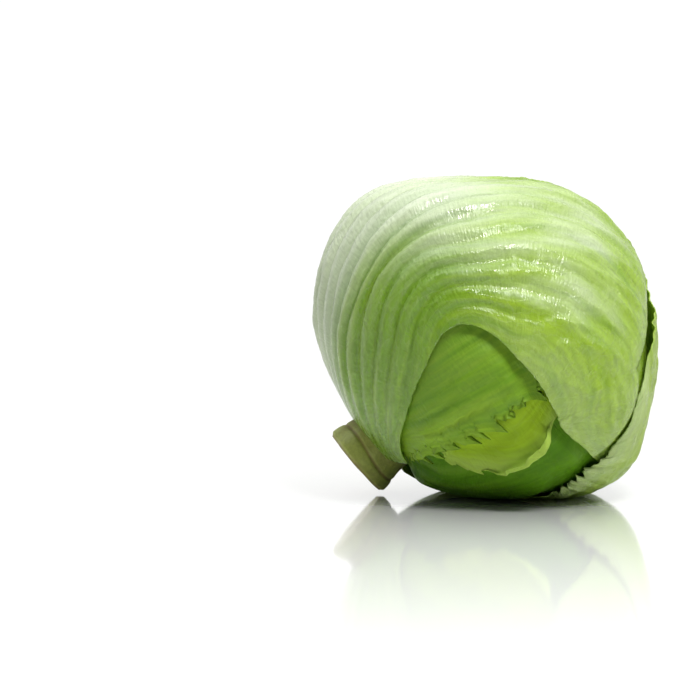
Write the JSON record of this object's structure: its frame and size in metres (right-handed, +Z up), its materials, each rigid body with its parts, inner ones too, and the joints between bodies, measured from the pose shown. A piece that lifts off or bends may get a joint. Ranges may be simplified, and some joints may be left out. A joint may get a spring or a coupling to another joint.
{
  "type": "head of lettuce",
  "caption": "Whole iceberg lettuce lying on its side: pale veined wrapper leaves with arched, jagged and frilled margins round a packed heart, with the cut stem showing.",
  "frame": {"origin": "centre of the flat spot that the head rests on, on the table under the middle of the head", "axes": "+Z up from the table, +X to the right and +Y away from the viewer of the picture; the cut stem points to -X and down"},
  "size_m": [0.1505, 0.1765, 0.1425],
  "materials": {
    "stem": "moist matte, pale olive, with a paler cut face",
    "heart": "satin, pale yellow green",
    "leaf_under": "satin, deep green",
    "leaf_back": "moist satin, mid green with pale veins",
    "frill": "satin, bright yellow green",
    "leaf_front": "satin, mid green with pale veins",
    "leaf_top": "wet gloss, pale whitish green with white ribs",
    "leaf_side": "moist satin, light yellow green"
  },
  "bodies": {
    "root": {"stem": "stem", "heart": "heart", "wrapper_under": "leaf_under", "wrapper_back": "leaf_back", "frill_back": "frill", "frill_front": "frill", "wrapper_front": "leaf_front", "wrapper_top": "leaf_top", "wrapper_side": "leaf_side"}
  },
  "joints": []
}
